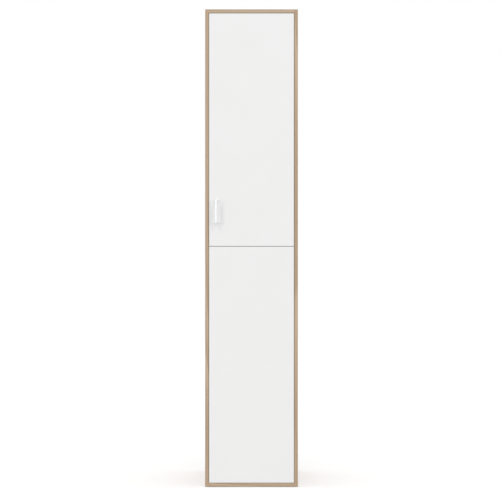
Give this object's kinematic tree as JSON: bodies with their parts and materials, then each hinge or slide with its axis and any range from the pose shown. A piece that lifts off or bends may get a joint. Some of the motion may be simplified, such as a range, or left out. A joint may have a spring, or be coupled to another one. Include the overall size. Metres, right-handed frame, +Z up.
{
  "type": "office cabinet",
  "caption": "Tall narrow office cabinet with stacked flush white doors in a light oak frame, shelves inside, cup hinges, a bow handle and a push latch.",
  "frame": {"origin": "on the floor, in the middle of the outline that the closed cabinet and its handle cover", "axes": "+X to the right seen from the front, +Y to the back, +Z up; the doors face -Y"},
  "size_m": [0.4, 0.427, 2.06],
  "materials": {
    "oak_board": "light oak melamine, fine matt grain",
    "oak_edge_band": "light oak edge band, matt",
    "white_door_board": "white melamine, matt",
    "white_edge_band": "white edge band, matt",
    "white_back_board": "white lacquered fibreboard, matt",
    "satin_aluminium": "satin anodised, bright",
    "nickel_plated_steel": "nickel-plated pressed steel",
    "zinc_plated_steel": "bright zinc plate",
    "die_cast_zinc": "raw die cast",
    "beech": "raw beech",
    "white_nylon": "moulded, matt",
    "grey_plastic": "moulded, fine texture",
    "ferrite_magnet": "sintered ferrite, dull"
  },
  "bodies": {
    "carcass": {"left_side": "oak_board", "right_side": "oak_board", "top_panel": "oak_board", "bottom_panel": "oak_board", "middle_shelf": "oak_board", "shelf_1": "oak_board", "shelf_2": "oak_board", "shelf_3": "oak_board", "shelf_4": "oak_board", "left_side_band": "oak_edge_band", "right_side_band": "oak_edge_band", "top_panel_band": "oak_edge_band", "bottom_panel_band": "oak_edge_band", "middle_shelf_band": "oak_edge_band", "shelf_bands": "oak_edge_band", "back_panel": "white_back_board", "upper_hinge_arm_1": "nickel_plated_steel", "upper_hinge_arm_2": "nickel_plated_steel", "upper_hinge_arm_3": "nickel_plated_steel", "lower_hinge_arm_1": "nickel_plated_steel", "lower_hinge_arm_2": "nickel_plated_steel", "lower_hinge_arm_3": "nickel_plated_steel", "upper_hinge_plates": "nickel_plated_steel", "lower_hinge_plates": "nickel_plated_steel", "shelf_pins": "zinc_plated_steel", "cam_bolts": "zinc_plated_steel", "hinge_screws": "zinc_plated_steel", "fitting_screws": "zinc_plated_steel", "hinge_arm_pins": "zinc_plated_steel", "wall_bracket": "zinc_plated_steel", "cam_locks": "die_cast_zinc", "dowels": "beech", "glides": "white_nylon", "catch_housing": "white_nylon", "latch_housing": "grey_plastic", "catch_magnet": "ferrite_magnet"},
    "upper_outer_links": {"upper_outer_links": "nickel_plated_steel"},
    "upper_door": {"upper_door": "white_door_board", "upper_door_bands": "white_edge_band", "handle": "satin_aluminium", "handle_screws": "zinc_plated_steel", "catch_strike_plate": "zinc_plated_steel", "upper_hinge_cup_1": "nickel_plated_steel", "upper_hinge_cup_2": "nickel_plated_steel", "upper_hinge_cup_3": "nickel_plated_steel", "upper_cup_pins": "zinc_plated_steel", "upper_cup_screws": "zinc_plated_steel"},
    "upper_inner_links": {"upper_inner_links": "nickel_plated_steel"},
    "lower_outer_links": {"lower_outer_links": "nickel_plated_steel"},
    "lower_door": {"lower_door": "white_door_board", "lower_door_bands": "white_edge_band", "latch_strike_plate": "zinc_plated_steel", "lower_hinge_cup_1": "nickel_plated_steel", "lower_hinge_cup_2": "nickel_plated_steel", "lower_hinge_cup_3": "nickel_plated_steel", "lower_cup_pins": "zinc_plated_steel", "lower_cup_screws": "zinc_plated_steel"},
    "lower_inner_links": {"lower_inner_links": "nickel_plated_steel"},
    "latch_plunger": {"latch_plunger": "grey_plastic"}
  },
  "joints": [
    {"name": "upper_outer_links_swing", "type": "hinge", "parent": "carcass", "child": "upper_outer_links", "pos_m": [0.1496, -0.1578, 0], "axis": [0, 0, -1], "range_deg": [0, 30.4]},
    {"name": "upper_door_swing", "type": "hinge", "parent": "upper_outer_links", "child": "upper_door", "pos_m": [0.1729, -0.1744, 0], "axis": [0, 0, 1], "range_deg": [0, 125.4]},
    {"name": "upper_inner_links_swing", "type": "hinge", "parent": "upper_door", "child": "upper_inner_links", "pos_m": [0.168, -0.1764, 0], "axis": [0, 0, -1], "range_deg": [0, 134.43]},
    {"name": "lower_outer_links_swing", "type": "hinge", "parent": "carcass", "child": "lower_outer_links", "pos_m": [0.1496, -0.1578, 0], "axis": [0, 0, -1], "range_deg": [0, 30.4]},
    {"name": "lower_door_swing", "type": "hinge", "parent": "lower_outer_links", "child": "lower_door", "pos_m": [0.1729, -0.1744, 0], "axis": [0, 0, 1], "range_deg": [0, 125.4]},
    {"name": "lower_inner_links_swing", "type": "hinge", "parent": "lower_door", "child": "lower_inner_links", "pos_m": [0.168, -0.1764, 0], "axis": [0, 0, -1], "range_deg": [0, 134.43]},
    {"name": "latch_plunger_slide", "type": "slide", "parent": "carcass", "child": "latch_plunger", "axis": [0, -1, 0], "range_m": [0, 0.012]}
  ],
  "couplings": [
    {"joint": "upper_outer_links_swing", "follows": "upper_door_swing", "ratio": 0.24242},
    {"joint": "upper_inner_links_swing", "follows": "upper_door_swing", "ratio": 1.072},
    {"joint": "lower_outer_links_swing", "follows": "lower_door_swing", "ratio": 0.24242},
    {"joint": "lower_inner_links_swing", "follows": "lower_door_swing", "ratio": 1.072},
    {"joint": "latch_plunger_slide", "follows": "lower_door_swing", "m_per_rad": 0.005482}
  ]
}
